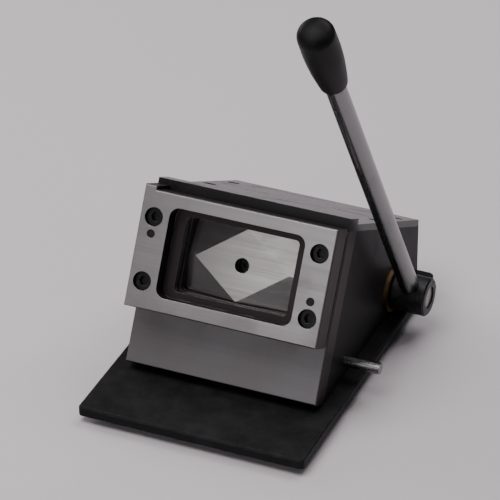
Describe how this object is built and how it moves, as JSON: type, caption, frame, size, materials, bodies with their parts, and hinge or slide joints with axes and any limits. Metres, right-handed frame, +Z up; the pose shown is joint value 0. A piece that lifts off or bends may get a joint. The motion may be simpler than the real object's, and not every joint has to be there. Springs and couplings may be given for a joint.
{
  "type": "plastic card cutter",
  "caption": "Desk-top die cutter with a side hand lever and cam, which punches plastic cards out of a sheet held behind a leaning window plate.",
  "frame": {"origin": "centre of the base plate's footprint, in the plane of the four feet's soles on the desk", "axes": "+Z up off the desk, +X to the operator's right where the lever stands, +Y away from the operator"},
  "size_m": [0.1883, 0.2675, 0.354],
  "materials": {
    "die_steel": "ground and satin nickel plated",
    "guide_steel": "darker ground steel, a little smudged",
    "punch_steel": "ground tool steel with fine grinding lines",
    "plain_steel": "machined steel, lightly oiled",
    "bright_steel": "bright polished rod",
    "body_paint": "black gloss enamel",
    "base_paint": "black semi-gloss enamel",
    "black_screws": "black oxide",
    "hub_black": "black oxide",
    "bronze": "plain bearing bronze",
    "spring_steel": "drawn spring wire",
    "grip_plastic": "black moulded plastic",
    "rubber": "black moulded rubber"
  },
  "bodies": {
    "machine_body": {"base_plate": "base_paint", "rubber_feet": "rubber", "foot_screws": "black_screws", "base_screws": "black_screws", "left_side_plate": "body_paint", "right_side_plate": "body_paint", "guide_plate": "guide_steel", "top_cover": "body_paint", "top_cover_screws": "black_screws", "rear_cover": "body_paint", "rear_cover_screws": "black_screws", "die_plate": "die_steel", "left_spacer": "die_steel", "right_spacers": "plain_steel", "die_screws": "black_screws", "die_dowels": "black_screws", "left_guide_rail": "plain_steel", "left_rail_screws": "black_screws", "right_guide_rail": "plain_steel", "right_rail_screws": "black_screws", "left_bush": "bronze", "right_bush": "bronze", "spring_bar": "plain_steel", "lever_stop_pin": "bright_steel", "left_return_spring": "spring_steel", "right_return_spring": "spring_steel"},
    "lever": {"main_shaft": "plain_steel", "cam": "plain_steel", "cam_key": "plain_steel", "shaft_collar": "black_screws", "collar_set_screw": "black_screws", "lever_hub": "hub_black", "hub_set_screw": "black_screws", "lever_rod": "bright_steel", "grip": "grip_plastic"},
    "ram": {"ram_block": "plain_steel", "punch": "punch_steel", "punch_screw": "black_screws", "punch_dowels": "plain_steel", "cam_pad": "plain_steel", "cam_pad_screws": "black_screws", "spring_studs": "plain_steel"}
  },
  "joints": [
    {"name": "lever_turn", "type": "hinge", "parent": "machine_body", "child": "lever", "pos_m": [0, 0.07071, 0.0314], "axis": [1, 0, 0], "range_deg": [0, 54], "stiffness_Nm_per_rad": 1.25, "springref_deg": -57.3},
    {"name": "ram_slide", "type": "slide", "parent": "machine_body", "child": "ram", "axis": [0, -0.8796, 0.4756], "range_m": [0, 0.012], "deforming": ["left_return_spring", "right_return_spring"]}
  ],
  "couplings": [
    {"joint": "ram_slide", "follows": "lever_turn", "m_per_rad": 0.012732}
  ]
}
